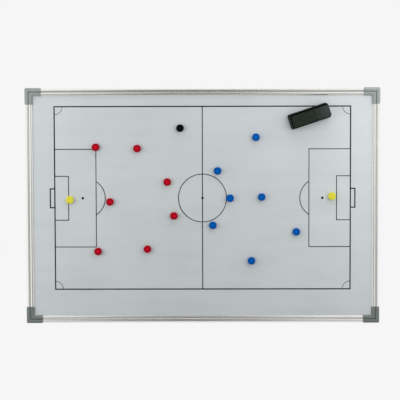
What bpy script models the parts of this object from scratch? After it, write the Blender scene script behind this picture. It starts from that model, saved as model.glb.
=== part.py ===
"""Magnetic tactics whiteboard: a laminated steel panel in an aluminium frame, with counters and an eraser.

Metres, +Z up. The wall is the plane Y = 0 and the writing face looks along -Y.
The origin lies on the wall plane, behind the middle of the board.
A frame section is drawn in u and v: u runs inward from the board's outer edge, v runs out from the wall.
"""

import math

import bmesh
import bpy
from mathutils import Matrix, Vector

MM = 0.001

# Whole board, over the corner caps
BOARD_WIDTH = 900 * MM
BOARD_HEIGHT = 600 * MM

# Clearance left between pieces that touch, under the print, and between the print and what stands on it
FIT = 0.3 * MM
PRINT_FIT = 0.05 * MM
REST_FIT = 0.13 * MM

# How far a cutter runs past what it cuts, and how near two points must lie to be one
CUT_MARGIN = 10 * MM
WELD_DISTANCE = 0.0001 * MM
MERGE_DISTANCE = 0.01 * MM

# Laminated panel
FACE_SHEET_THICKNESS = 0.4 * MM
CORE_THICKNESS = 6.0 * MM
BACK_SHEET_THICKNESS = 0.25 * MM

# Extruded rail, whose front has two rounded beads with a crease between them
RAIL_WIDTH = 18.0 * MM
RAIL_WALL = 1.2 * MM
OUTER_BEAD_WIDTH = 9.0 * MM
OUTER_BEAD_RISE = 2.4 * MM
INNER_BEAD_RISE = 1.6 * MM
CREASE_LIFT = 1.2 * MM
SHOULDER_DROP = 1.3 * MM
REAR_LIP_WIDTH = 12.0 * MM
PANEL_FLANGE_WIDTH = 14.5 * MM
GROOVE_SETBACK = 3.0 * MM
BEAD_STEPS = 7
SHARP_ANGLE = math.radians(35)

# Moulded corner cap
CAP_WALL = 1.0 * MM
CAP_LEG = 42.0 * MM
CAP_CORNER_RADIUS = 4.0 * MM
CAP_CORNER_STEPS = 8
CAP_END_RADIUS = 3.5 * MM
CAP_END_STEPS = 5
TONGUE_SETBACK = 1.0 * MM
TONGUE_TAPER = 0.8 * MM

# Countersunk screw that holds each cap to the top or bottom rail
SCREW_HEAD_DIAMETER = 5.4 * MM
SCREW_SHANK_DIAMETER = 2.4 * MM
SCREW_SINK = 0.2 * MM
SCREW_TIP_COVER = 1.0 * MM
SCREW_STEPS = 16

# Stamped steel hanger that slides in the top rail's rear groove
HANGER_THICKNESS = 1.0 * MM
HANGER_WIDTH = 32.0 * MM
HANGER_SPACING = 500.0 * MM
HANGER_WALL_GAP = 0.4 * MM
HANGER_BEND_RUN = 3.0 * MM
HANGER_CORNER_RADIUS = 4.0 * MM
HANGER_CORNER_STEPS = 4
KEYHOLE_DIAMETER = 9.0 * MM
KEYHOLE_STEPS = 16
KEYHOLE_SLOT_WIDTH = 5.0 * MM
KEYHOLE_SLOT_LENGTH = 9.0 * MM
KEYHOLE_SLOT_STEPS = 8
KEYHOLE_TOP_COVER = 4.0 * MM
KEYHOLE_FOOT_COVER = 9.0 * MM

# Printed pitch
PRINT_THICKNESS = 0.12 * MM
PITCH_SIDE_MARGIN = 55.5 * MM
PITCH_TOP_MARGIN = 28.0 * MM
PITCH_BOTTOM_MARGIN = 68.0 * MM
PENALTY_AREA_DEPTH = 105.0 * MM
PENALTY_AREA_WIDTH = 249.0 * MM
GOAL_AREA_DEPTH = 35.0 * MM
GOAL_AREA_WIDTH = 112.0 * MM
GOAL_DEPTH = 11.5 * MM
GOAL_WIDTH = 48.0 * MM
CENTRE_CIRCLE_RADIUS = 61.0 * MM
PENALTY_ARC_REACH = 23.2 * MM
PENALTY_ARC_CHORD = 84.8 * MM
PENALTY_SPOT_DISTANCE = 71.0 * MM
CORNER_ARC_RADIUS = 20.2 * MM
SPOT_DIAMETER = 6.5 * MM
SPOT_STEPS = 16
BORDER_LINE = 3.0 * MM
HALFWAY_LINE = 2.3 * MM
INNER_LINE = 2.0 * MM
CORNER_LINE = 1.2 * MM
CIRCLE_STEPS = 72

# Counters: a moulded cap over a ferrite disc
COUNTER_DIAMETER = 19.5 * MM
COUNTER_HEIGHT = 7.0 * MM
COUNTER_EDGE_RADIUS = 1.4 * MM
COUNTER_EDGE_STEPS = 3
COUNTER_CROWN = 0.35 * MM
COUNTER_BASE_INSET = 0.6 * MM
COUNTER_SIDE_WALL = 2.4 * MM
COUNTER_TOP_WALL = 3.2 * MM
COUNTER_STEPS = 24

# Eraser: a moulded grip over a felt pad, with a magnet strip between them
ERASER_LENGTH = 108.0 * MM
ERASER_WIDTH = 39.5 * MM
ERASER_NOSE_RADIUS = 9.0 * MM
ERASER_TAIL_RADIUS = 5.0 * MM
ERASER_CORNER_STEPS = 6
ERASER_GRIP_HEIGHT = 17.0 * MM
ERASER_DRAFT = 1.4 * MM
ERASER_TAIL_DRAFT = 6.0 * MM
ERASER_EDGE_RADIUS = 2.8 * MM
ERASER_EDGE_STEPS = 4
ERASER_TILT = math.radians(18.4)
ERASER_FROM_SIDE = 159.2 * MM
ERASER_FROM_TOP = 52.7 * MM
FELT_THICKNESS = 5.0 * MM
FELT_INSET = 0.8 * MM
STRIP_LENGTH = 76.0 * MM
STRIP_WIDTH = 18.0 * MM
STRIP_THICKNESS = 2.0 * MM

# Where the counters stand, as shares of the pitch's half length and half height from its centre
COUNTERS = {
    "red": [
        (-0.721, 0.558),
        (-0.441, 0.543),
        (-0.238, 0.177),
        (-0.626, -0.039),
        (-0.193, -0.193),
        (-0.709, -0.583),
        (-0.374, -0.558),
    ],
    "blue": [
        (0.362, 0.664),
        (0.103, 0.298),
        (0.187, -0.001),
        (0.401, 0.011),
        (0.070, -0.297),
        (0.635, -0.370),
        (0.331, -0.687),
    ],
    "yellow": [(-0.898, -0.016), (0.876, 0.020)],
    "black": [(-0.150, 0.764)],
}

# Each corner's side along X, its level along Z, and its name
CORNERS = [
    (-1, 1, "top_left"),
    (1, 1, "top_right"),
    (-1, -1, "bottom_left"),
    (1, -1, "bottom_right"),
]

# Frame section, worked out from the wall outward
RAIL_OUTER = CAP_WALL + FIT
RAIL_INNER = RAIL_OUTER + RAIL_WIDTH
CREASE_U = RAIL_OUTER + OUTER_BEAD_WIDTH
GROOVE_REAR = RAIL_OUTER + RAIL_WALL
GROOVE_FRONT = GROOVE_REAR + HANGER_THICKNESS + 2 * FIT
FLANGE_FRONT = GROOVE_FRONT + RAIL_WALL
BACK_SHEET_V = FLANGE_FRONT + FIT
CORE_V = BACK_SHEET_V + BACK_SHEET_THICKNESS + FIT
FACE_SHEET_V = CORE_V + CORE_THICKNESS + FIT
FACE_V = FACE_SHEET_V + FACE_SHEET_THICKNESS
LIP_REAR = FACE_V + FIT
LIP_FRONT = LIP_REAR + RAIL_WALL
SHOULDER_V = LIP_REAR - SHOULDER_DROP
CREASE_V = LIP_REAR + CREASE_LIFT
PANEL_EDGE = CREASE_U + FIT
RAIL_END = RAIL_INNER + FIT
REST_V = FACE_V + PRINT_FIT + PRINT_THICKNESS + REST_FIT
TONGUE_FRONT = SHOULDER_V - FIT
SCREW_LENGTH = TONGUE_FRONT - SCREW_TIP_COVER - SCREW_SINK
SCREW_DISTANCE = (RAIL_END + CAP_LEG) / 2
SCREW_U = RAIL_OUTER + OUTER_BEAD_WIDTH / 2
FERRITE_DIAMETER = COUNTER_DIAMETER - 2 * (COUNTER_SIDE_WALL + FIT)
FERRITE_THICKNESS = COUNTER_HEIGHT - COUNTER_TOP_WALL - FIT

# Hanger, worked out down from the groove
HANGER_TAB_U = RAIL_OUTER + GROOVE_SETBACK + FIT
HANGER_BEND_START = RAIL_OUTER + REAR_LIP_WIDTH + 2 * FIT
HANGER_BEND_END = HANGER_BEND_START + HANGER_BEND_RUN
SLOT_END_U = HANGER_BEND_END + KEYHOLE_TOP_COVER
KEYHOLE_U = SLOT_END_U + KEYHOLE_SLOT_WIDTH / 2 + KEYHOLE_SLOT_LENGTH
HANGER_DROP = KEYHOLE_U + KEYHOLE_DIAMETER / 2 + KEYHOLE_FOOT_COVER

# Pitch, worked out from the visible face
PITCH_LENGTH = BOARD_WIDTH - 2 * RAIL_INNER - 2 * PITCH_SIDE_MARGIN
PITCH_TOP = BOARD_HEIGHT / 2 - RAIL_INNER - PITCH_TOP_MARGIN
PITCH_BOTTOM = -BOARD_HEIGHT / 2 + RAIL_INNER + PITCH_BOTTOM_MARGIN
PITCH_HEIGHT = PITCH_TOP - PITCH_BOTTOM
PITCH_RISE = (PITCH_TOP + PITCH_BOTTOM) / 2

COLOURS = {
    "face": ("#d3d7da", 0.25, 0.0),
    "core": ("#8a7355", 0.9, 0.0),
    "back": ("#a9adb0", 0.45, 0.9),
    "rail": ("#c9cac6", 0.3, 1.0),
    "cap": ("#8b918e", 0.5, 0.0),
    "screw": ("#9da1a4", 0.35, 1.0),
    "hanger": ("#b4b7b8", 0.4, 1.0),
    "print": ("#15181a", 0.5, 0.0),
    "red": ("#c4162a", 0.35, 0.0),
    "blue": ("#0b5cab", 0.35, 0.0),
    "yellow": ("#ddd54a", 0.35, 0.0),
    "black": ("#101214", 0.35, 0.0),
    "ferrite": ("#3a3b3d", 0.6, 0.2),
    "grip": ("#2a2e2c", 0.5, 0.0),
    "felt": ("#1d1f20", 0.95, 0.0),
    "strip": ("#37302c", 0.7, 0.0),
}


def clear_scene():
    for item in list(bpy.data.objects):
        bpy.data.objects.remove(item, do_unlink=True)


def new_collection(name):
    collection = bpy.data.collections.new(name)
    bpy.context.scene.collection.children.link(collection)
    return collection


def linear(hex_colour):
    """Scene-linear red, green and blue of an sRGB hex colour."""
    values = [int(hex_colour[i : i + 2], 16) / 255 for i in (1, 3, 5)]
    return [c / 12.92 if c <= 0.04045 else ((c + 0.055) / 1.055) ** 2.4 for c in values]


def new_material(name, look):
    colour, roughness, metallic = COLOURS[look]
    material = bpy.data.materials.new(name)
    material.use_nodes = True
    shader = material.node_tree.nodes["Principled BSDF"]
    shader.inputs["Base Color"].default_value = (*linear(colour), 1)
    shader.inputs["Roughness"].default_value = roughness
    shader.inputs["Metallic"].default_value = metallic
    return material


def add_piece(name, mesh, look, matrix=None, smooth=False):
    """A named piece of the board, with its own material."""
    mesh.materials.clear()
    mesh.materials.append(new_material(name, look))
    piece = bpy.data.objects.new(name, mesh)
    piece.matrix_world = matrix or Matrix()
    piece["smooth"] = smooth
    PARTS.objects.link(piece)
    return piece


def settle_pieces():
    """Applies the cuts, then shades each piece so that its sharp edges follow its final shape."""
    for piece in PARTS.objects:
        if piece.modifiers:
            piece.data = evaluated_mesh(piece)
            piece.modifiers.clear()
        if piece["smooth"]:
            piece.data.shade_smooth()
            piece.data.set_sharp_from_angle(angle=SHARP_ANGLE)
        else:
            piece.data.shade_flat()


def add_cutter(name, mesh, matrix=None):
    cutter = bpy.data.objects.new(name, mesh)
    cutter.matrix_world = matrix or Matrix()
    cutter.hide_render = True
    cutter.display_type = "WIRE"
    CUTTERS.objects.link(cutter)
    return cutter


def add_boolean(piece, cutter, operation):
    step = piece.modifiers.new(cutter.name, "BOOLEAN")
    step.solver = "EXACT"
    step.operation = operation
    step.object = cutter


def box_mesh(name, low, high):
    mesh = bpy.data.meshes.new(name)
    shape = bmesh.new()
    size = Vector(high) - Vector(low)
    place = Matrix.Translation((Vector(low) + Vector(high)) / 2) @ Matrix.Diagonal((*size, 1))
    bmesh.ops.create_cube(shape, size=1, matrix=place)
    shape.to_mesh(mesh)
    shape.free()
    return mesh


def plate_mesh(name, outlines, thickness):
    """A filled 2D curve, extruded from z = 0 to z = thickness, as a welded mesh."""
    curve = bpy.data.curves.new(name, "CURVE")
    curve.dimensions = "2D"
    curve.fill_mode = "BOTH"
    curve.extrude = thickness / 2
    for outline in outlines:
        spline = curve.splines.new("POLY")
        spline.points.add(len(outline) - 1)
        for point, (x, y) in zip(spline.points, outline):
            point.co = (x, y, 0, 1)
        spline.use_cyclic_u = True
    drawn = bpy.data.objects.new(name, curve)
    CUTTERS.objects.link(drawn)
    mesh = evaluated_mesh(drawn)
    bpy.data.objects.remove(drawn)
    shape = bmesh.new()
    shape.from_mesh(mesh)
    bmesh.ops.remove_doubles(shape, verts=shape.verts, dist=WELD_DISTANCE)
    bmesh.ops.translate(shape, verts=shape.verts, vec=(0, 0, thickness / 2))
    shape.to_mesh(mesh)
    shape.free()
    return mesh


def evaluated_mesh(piece):
    """The mesh of a piece with its modifiers applied."""
    return bpy.data.meshes.new_from_object(piece.evaluated_get(bpy.context.evaluated_depsgraph_get()))


def turned_mesh(name, profile, steps):
    """A profile in radius and height, run down its outer side, turned about Z."""
    line = bpy.data.meshes.new(name)
    points = [(radius, 0, height) for radius, height in profile]
    line.from_pydata(points, [(i, i + 1) for i in range(len(points) - 1)], [])
    drawn = bpy.data.objects.new(name, line)
    CUTTERS.objects.link(drawn)
    turn = drawn.modifiers.new("turn", "SCREW")
    turn.steps = steps
    turn.render_steps = steps
    turn.use_merge_vertices = True
    turn.merge_threshold = MERGE_DISTANCE
    mesh = evaluated_mesh(drawn)
    bpy.data.objects.remove(drawn)
    return mesh


def bead(start, end, rise):
    """A shallow arc from start to end, whose middle stands rise above the straight line."""
    span = Vector(end) - Vector(start)
    outward = Vector((-span.y, span.x)).normalized()
    points = []
    for i in range(BEAD_STEPS + 1):
        share = i / BEAD_STEPS
        lift = rise * 4 * share * (1 - share)
        points.append(tuple(Vector(start) + span * share + outward * lift))
    return points


def offset_path(points, distance):
    """An open path moved to its left by a distance, with mitred corners."""
    path = [Vector(p) for p in points]
    moved = []
    for i, point in enumerate(path):
        before = (point - path[i - 1]).normalized() if i > 0 else None
        after = (path[i + 1] - point).normalized() if i < len(path) - 1 else None
        first = Vector((-before.y, before.x)) if before else Vector((-after.y, after.x))
        second = Vector((-after.y, after.x)) if after else first
        middle = (first + second).normalized()
        moved.append(tuple(point + middle * distance / middle.dot(first)))
    return moved


def rail_skin():
    """The rail's outer line, from its rear lip round the outside and over both beads to the inner edge."""
    outer_bead = bead((RAIL_OUTER, SHOULDER_V), (CREASE_U, CREASE_V), OUTER_BEAD_RISE)
    inner_bead = bead((CREASE_U, CREASE_V), (RAIL_INNER, LIP_FRONT), INNER_BEAD_RISE)
    rear = [(RAIL_OUTER + REAR_LIP_WIDTH, RAIL_OUTER), (RAIL_OUTER, RAIL_OUTER)]
    return rear + outer_bead + inner_bead[1:] + [(RAIL_INNER, LIP_REAR)]


def rail_outline():
    flange_tip = RAIL_OUTER + PANEL_FLANGE_WIDTH
    groove_end = RAIL_OUTER + GROOVE_SETBACK
    return rail_skin() + [
        (CREASE_U, LIP_REAR),
        (CREASE_U, FLANGE_FRONT),
        (flange_tip, FLANGE_FRONT),
        (flange_tip, GROOVE_FRONT),
        (groove_end, GROOVE_FRONT),
        (groove_end, GROOVE_REAR),
        (RAIL_OUTER + REAR_LIP_WIDTH, GROOVE_REAR),
    ]


def chamber_outline():
    """The closed chamber that takes the cap's tongue, under the outer bead."""
    low = RAIL_OUTER + RAIL_WALL
    high = CREASE_U - RAIL_WALL
    ceiling = offset_path(bead((RAIL_OUTER, SHOULDER_V), (CREASE_U, CREASE_V), OUTER_BEAD_RISE), -RAIL_WALL)
    inside = [point for point in ceiling if low < point[0] < high]
    start = (low, inside[0][1] - RAIL_WALL / 2)
    end = (high, inside[-1][1])
    return [(low, FLANGE_FRONT), start] + inside + [end, (high, FLANGE_FRONT)]


def side_matrix(turn, distance):
    """Places a section of one side: u towards the middle, v out from the wall, length along the side."""
    axes = Matrix(((0, 0, -1, 0), (0, -1, 0, 0), (-1, 0, 0, distance), (0, 0, 0, 1)))
    return Matrix.Rotation(math.radians(turn), 4, "Y") @ axes


def add_rail(name, turn, distance, length):
    mesh = plate_mesh(name, [rail_outline(), chamber_outline()], length)
    mesh.transform(Matrix.Translation((0, 0, -length / 2)))
    add_piece(name, mesh, "rail", side_matrix(turn, distance), smooth=True)


def corner_matrix(side, level):
    """From a corner's own distances along the width, along the height and out from the wall to the board."""
    return Matrix(
        (
            (-side, 0, 0, side * BOARD_WIDTH / 2),
            (0, 0, -1, 0),
            (0, -level, 0, level * BOARD_HEIGHT / 2),
            (0, 0, 0, 1),
        )
    )


def leg_mesh(name, outline, start, end):
    """A section extruded along a corner's first leg: its length is local x, u is local y, v is local z."""
    mesh = plate_mesh(name, [outline], end - start)
    axes = Matrix(((0, 0, 1, start), (1, 0, 0, 0), (0, 1, 0, 0), (0, 0, 0, 1)))
    mesh.transform(axes)
    return mesh


def screw_profile(grow):
    """A countersunk screw from its flat head down to its blunt tip, grown all round by a clearance."""
    head = SCREW_HEAD_DIAMETER / 2 + grow
    shank = SCREW_SHANK_DIAMETER / 2 + grow
    neck = SCREW_LENGTH - (head - shank)
    shoulder = shank / 2 - grow
    return [
        (0, SCREW_LENGTH),
        (head, SCREW_LENGTH),
        (shank, neck),
        (shank, shoulder),
        (shank / 2, -grow),
        (0, -grow),
    ]


def screw_hole_profile():
    """The hole for the screw, with a mouth that runs out past the cap's rear."""
    seat = screw_profile(FIT)
    mouth = SCREW_LENGTH + 2 * SCREW_SINK
    return [(0, mouth), (seat[1][0], mouth)] + seat[1:]


def screw_matrix(side, level):
    """The screw's tip points away from the wall, into the cap's tongue."""
    x = side * (BOARD_WIDTH / 2 - SCREW_DISTANCE)
    z = level * (BOARD_HEIGHT / 2 - SCREW_U)
    turn = Matrix.Rotation(math.radians(-90), 4, "X")
    return Matrix.Translation((x, -(SCREW_SINK + SCREW_LENGTH), z)) @ turn


def cap_mesh():
    """One corner cap in its corner's own distances: a mitred skin, a solid corner and two tongues."""
    inner = offset_path(rail_skin(), FIT)
    outer = offset_path(rail_skin(), FIT + CAP_WALL)
    middle = offset_path(rail_skin(), FIT + CAP_WALL / 2)
    skin = bpy.data.objects.new("cap_skin", leg_mesh("cap_skin", outer + inner[::-1], 0, CAP_LEG))
    CUTTERS.objects.link(skin)

    crease = 2 + BEAD_STEPS
    root = middle[1 : crease + 1]
    root[-1] = (CREASE_U, root[-1][1])
    post = [(CREASE_U, middle[0][1])] + root
    add_boolean(skin, add_cutter("cap_post", leg_mesh("cap_post", post, 0, RAIL_INNER)), "UNION")

    low = RAIL_OUTER + RAIL_WALL + FIT
    high = CREASE_U - RAIL_WALL - FIT
    tongue = box_mesh(
        "cap_tongue",
        (RAIL_INNER - CAP_WALL, low, FLANGE_FRONT + FIT),
        (CAP_LEG - TONGUE_SETBACK, high, TONGUE_FRONT),
    )
    tip = [v for v in tongue.vertices if v.co.x > RAIL_END]
    for vertex in tip:
        vertex.co.y += TONGUE_TAPER if vertex.co.y < (low + high) / 2 else -TONGUE_TAPER
    add_boolean(skin, add_cutter("cap_tongue", tongue), "UNION")

    diagonal = bpy.data.objects.new("cap_diagonal", None)
    diagonal.rotation_euler = (0, 0, math.radians(-45))
    CUTTERS.objects.link(diagonal)
    mirror = skin.modifiers.new("mitre", "MIRROR")
    mirror.mirror_object = diagonal
    mirror.use_axis = (True, False, False)
    mirror.use_bisect_axis = (True, False, False)
    mirror.merge_threshold = MERGE_DISTANCE

    reach = CAP_LEG + CAP_WALL
    end = CAP_END_RADIUS
    leg_end = arc_points((CAP_LEG - end, end), end, -math.pi / 2, 0, CAP_END_STEPS)[:-1]
    other_end = [(y, x) for x, y in leg_end[::-1]]
    radius = CAP_CORNER_RADIUS
    corner = arc_points((radius, radius), radius, math.pi, 3 * math.pi / 2, CAP_CORNER_STEPS)
    rounded = leg_end + [(reach, end), (reach, reach), (end, reach)] + other_end + corner
    block = plate_mesh("cap_rounding", [rounded], LIP_FRONT + 2 * CUT_MARGIN)
    block.transform(Matrix.Translation((0, 0, -CUT_MARGIN)))
    add_boolean(skin, add_cutter("cap_rounding", block), "INTERSECT")
    mesh = evaluated_mesh(skin)
    bpy.data.objects.remove(skin)
    return mesh


def add_corner_caps():
    base = cap_mesh()
    for side, level, name in CORNERS:
        matrix = corner_matrix(side, level)
        mesh = base.copy()
        mesh.transform(matrix)
        if matrix.determinant() < 0:
            mesh.flip_normals()
        cap = add_piece("corner_cap_" + name, mesh, "cap", smooth=True)
        hole_mesh = turned_mesh("screw_hole_" + name, screw_hole_profile(), SCREW_STEPS)
        hole = add_cutter("screw_hole_" + name, hole_mesh, screw_matrix(side, level))
        add_boolean(cap, hole, "DIFFERENCE")
        rail = bpy.data.objects["rail_top" if level > 0 else "rail_bottom"]
        add_boolean(rail, hole, "DIFFERENCE")
        screw = turned_mesh("corner_screw_" + name, screw_profile(0), SCREW_STEPS)
        add_piece("corner_screw_" + name, screw, "screw", screw_matrix(side, level), smooth=True)


def add_frame():
    across = BOARD_WIDTH - 2 * RAIL_END
    upright = BOARD_HEIGHT - 2 * RAIL_END
    add_rail("rail_top", 0, BOARD_HEIGHT / 2, across)
    add_rail("rail_bottom", 180, BOARD_HEIGHT / 2, across)
    add_rail("rail_right", 90, BOARD_WIDTH / 2, upright)
    add_rail("rail_left", -90, BOARD_WIDTH / 2, upright)


def add_panel():
    x = BOARD_WIDTH / 2 - PANEL_EDGE
    z = BOARD_HEIGHT / 2 - PANEL_EDGE
    layers = [
        ("back_sheet", "back", BACK_SHEET_V, BACK_SHEET_THICKNESS),
        ("core_board", "core", CORE_V, CORE_THICKNESS),
        ("face_sheet", "face", FACE_SHEET_V, FACE_SHEET_THICKNESS),
    ]
    for name, look, rear, thickness in layers:
        add_piece(name, box_mesh(name, (-x, -rear - thickness, -z), (x, -rear, z)), look)


def hanger_section():
    """The hanger's bent strip in u and v: a tab in the groove, a joggle, and a leg near the wall."""
    line = [
        (HANGER_DROP, HANGER_WALL_GAP),
        (HANGER_BEND_END, HANGER_WALL_GAP),
        (HANGER_BEND_START, GROOVE_REAR + FIT),
        (HANGER_TAB_U, GROOVE_REAR + FIT),
    ]
    return line + offset_path(line, -HANGER_THICKNESS)[::-1]


def keyhole_outline():
    """A round hole with a slot above it, in the hanger's width and in height above the hole's centre."""
    hole = KEYHOLE_DIAMETER / 2
    slot = KEYHOLE_SLOT_WIDTH / 2
    spread = math.asin(slot / hole)
    start = math.pi / 2 + spread
    sweep = 2 * math.pi - 2 * spread
    points = []
    for i in range(KEYHOLE_STEPS + 1):
        turn = start + sweep * i / KEYHOLE_STEPS
        points.append((hole * math.cos(turn), hole * math.sin(turn)))
    for i in range(KEYHOLE_SLOT_STEPS + 1):
        turn = math.pi * i / KEYHOLE_SLOT_STEPS
        points.append((slot * math.cos(turn), KEYHOLE_SLOT_LENGTH + slot * math.sin(turn)))
    return points


def add_hanger(name, side):
    mesh = plate_mesh(name, [hanger_section()], HANGER_WIDTH)
    mesh.transform(Matrix.Translation((0, 0, -HANGER_WIDTH / 2)))
    mesh.transform(side_matrix(0, BOARD_HEIGHT / 2))
    foot = BOARD_HEIGHT / 2 - HANGER_DROP
    shape = bmesh.new()
    shape.from_mesh(mesh)
    foot_edges = [e for e in shape.edges if all(abs(v.co.z - foot) < FIT for v in e.verts)]
    corners = [e for e in foot_edges if abs(e.verts[0].co.x - e.verts[1].co.x) < FIT]
    bmesh.ops.bevel(
        shape,
        geom=corners,
        offset=HANGER_CORNER_RADIUS,
        segments=HANGER_CORNER_STEPS,
        profile=0.5,
        affect="EDGES",
    )
    shape.to_mesh(mesh)
    shape.free()
    place = Matrix.Translation((side * HANGER_SPACING / 2, 0, 0))
    hanger = add_piece(name, mesh, "hanger", place)
    depth = 2 * GROOVE_FRONT
    keyhole = plate_mesh("keyhole_" + name, [keyhole_outline()], depth)
    keyhole.transform(Matrix.Rotation(math.radians(90), 4, "X"))
    keyhole_place = Matrix.Translation((side * HANGER_SPACING / 2, depth / 2, BOARD_HEIGHT / 2 - KEYHOLE_U))
    add_boolean(hanger, add_cutter("keyhole_" + name, keyhole, keyhole_place), "DIFFERENCE")


def bar(x0, z0, x1, z1, width):
    """A straight printed line between two points of the pitch, with square ends past both."""
    half = width / 2
    low_x, high_x = sorted((x0, x1))
    low_z, high_z = sorted((z0, z1))
    return [
        (low_x - half, low_z - half),
        (high_x + half, low_z - half),
        (high_x + half, high_z + half),
        (low_x - half, high_z + half),
    ]


def arc_points(centre, radius, start, end, steps):
    turns = [start + (end - start) * i / steps for i in range(steps + 1)]
    return [(centre[0] + radius * math.cos(turn), centre[1] + radius * math.sin(turn)) for turn in turns]


def arc_strip(centre, radius, start, end, width):
    """A curved printed line about a centre, between two angles in radians."""
    steps = math.ceil(CIRCLE_STEPS * abs(end - start) / (2 * math.pi))
    outside = arc_points(centre, radius + width / 2, start, end, steps)
    inside = arc_points(centre, radius - width / 2, start, end, steps)
    return outside + inside[::-1]


def round_outline(radius, steps):
    return arc_points((0, 0), radius, 0, 2 * math.pi, steps)[:-1]


def pitch_strips():
    """The outlines of the pitch's joined lines, about its centre."""
    x = PITCH_LENGTH / 2
    z = PITCH_HEIGHT / 2
    strips = [
        bar(-x, z, x, z, BORDER_LINE),
        bar(-x, -z, x, -z, BORDER_LINE),
        bar(0, -z, 0, z, HALFWAY_LINE),
    ]
    for side in (-1, 1):
        goal_line = side * x
        strips.append(bar(goal_line, -z, goal_line, z, BORDER_LINE))
        boxes = [
            (goal_line - side * PENALTY_AREA_DEPTH, PENALTY_AREA_WIDTH / 2, INNER_LINE),
            (goal_line - side * GOAL_AREA_DEPTH, GOAL_AREA_WIDTH / 2, INNER_LINE),
            (goal_line + side * GOAL_DEPTH, GOAL_WIDTH / 2, BORDER_LINE),
        ]
        for front, half, width in boxes:
            strips.append(bar(goal_line, half, front, half, width))
            strips.append(bar(goal_line, -half, front, -half, width))
            strips.append(bar(front, -half, front, half, width))
        chord = PENALTY_ARC_CHORD / 2
        radius = (PENALTY_ARC_REACH**2 + chord**2) / (2 * PENALTY_ARC_REACH)
        setback = radius - PENALTY_ARC_REACH
        centre = (goal_line - side * (PENALTY_AREA_DEPTH - setback), 0)
        spread = math.atan2(chord, setback)
        facing = math.pi if side > 0 else 0
        strips.append(arc_strip(centre, radius, facing - spread, facing + spread, INNER_LINE))
        for level in (-1, 1):
            start = -level * math.pi / 2
            turn = -level * side * math.pi / 2
            corner = (goal_line, level * z)
            strips.append(arc_strip(corner, CORNER_ARC_RADIUS, start, start + turn, CORNER_LINE))
    return strips


def print_matrix(x):
    """From a drawing with z outward to the board's face, about a point of the pitch's long axis."""
    lift = Matrix.Translation((x, -FACE_V - PRINT_FIT, PITCH_RISE))
    return lift @ Matrix.Rotation(math.radians(90), 4, "X")


def add_print():
    ring = [
        round_outline(CENTRE_CIRCLE_RADIUS + INNER_LINE / 2, CIRCLE_STEPS),
        round_outline(CENTRE_CIRCLE_RADIUS - INNER_LINE / 2, CIRCLE_STEPS),
    ]
    spot = round_outline(SPOT_DIAMETER / 2, SPOT_STEPS)
    circle = plate_mesh("pitch_lines", ring, PRINT_THICKNESS)
    lines = add_piece("pitch_lines", circle, "print", print_matrix(0))
    for i, strip in enumerate(pitch_strips() + [spot]):
        name = "pitch_strip_" + str(i)
        cutter = add_cutter(name, plate_mesh(name, [strip], PRINT_THICKNESS), print_matrix(0))
        add_boolean(lines, cutter, "UNION")
    for side, name in ((-1, "penalty_spot_left"), (1, "penalty_spot_right")):
        x = side * (PITCH_LENGTH / 2 - PENALTY_SPOT_DISTANCE)
        add_piece(name, plate_mesh(name, [spot], PRINT_THICKNESS), "print", print_matrix(x))


def counter_profile():
    """The counter cap's section: crown, rounded edge, drafted side, and the pocket for its disc."""
    radius = COUNTER_DIAMETER / 2
    edge = COUNTER_EDGE_RADIUS
    side_top = COUNTER_HEIGHT - COUNTER_CROWN - edge
    pocket = FERRITE_DIAMETER / 2 + FIT
    rounding = arc_points((radius - edge, side_top), edge, math.pi / 2, 0, COUNTER_EDGE_STEPS)
    points = [(0, COUNTER_HEIGHT)] + rounding
    points += [
        (radius - COUNTER_BASE_INSET, 0),
        (pocket, 0),
        (pocket, FERRITE_THICKNESS + FIT),
        (0, FERRITE_THICKNESS + FIT),
    ]
    return points


def add_counters():
    cap = turned_mesh("counter_cap", counter_profile(), COUNTER_STEPS)
    half = FERRITE_DIAMETER / 2
    disc_profile = [(0, FERRITE_THICKNESS), (half, FERRITE_THICKNESS), (half, 0), (0, 0)]
    disc = turned_mesh("counter_disc", disc_profile, COUNTER_STEPS)
    turn = Matrix.Rotation(math.radians(90), 4, "X")
    for colour, places in COUNTERS.items():
        for i, (along, up) in enumerate(places):
            name = f"{colour}_{i + 1}"
            x = along * PITCH_LENGTH / 2
            z = PITCH_RISE + up * PITCH_HEIGHT / 2
            place = Matrix.Translation((x, -REST_V, z)) @ turn
            add_piece("counter_" + name, cap.copy(), colour, place, smooth=True)
            add_piece("ferrite_" + name, disc.copy(), "ferrite", place, smooth=True)


def eraser_outline(inset):
    """The eraser's plan: a tight-cornered tail and a round-cornered nose, drawn in all round."""
    x = ERASER_LENGTH / 2 - inset
    y = ERASER_WIDTH / 2 - inset
    points = []
    for quarter, (side, level) in enumerate([(1, 1), (-1, 1), (-1, -1), (1, -1)]):
        radius = ERASER_NOSE_RADIUS if side > 0 else ERASER_TAIL_RADIUS
        centre = (side * (x - radius), level * (y - radius))
        start = quarter * math.pi / 2
        points += arc_points(centre, radius, start, start + math.pi / 2, ERASER_CORNER_STEPS)
    return points


def eraser_matrix():
    x = BOARD_WIDTH / 2 - RAIL_INNER - ERASER_FROM_SIDE
    z = BOARD_HEIGHT / 2 - RAIL_INNER - ERASER_FROM_TOP
    tilt = Matrix.Rotation(-ERASER_TILT, 4, "Y") @ Matrix.Rotation(math.radians(90), 4, "X")
    return Matrix.Translation((x, -REST_V, z)) @ tilt


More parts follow.
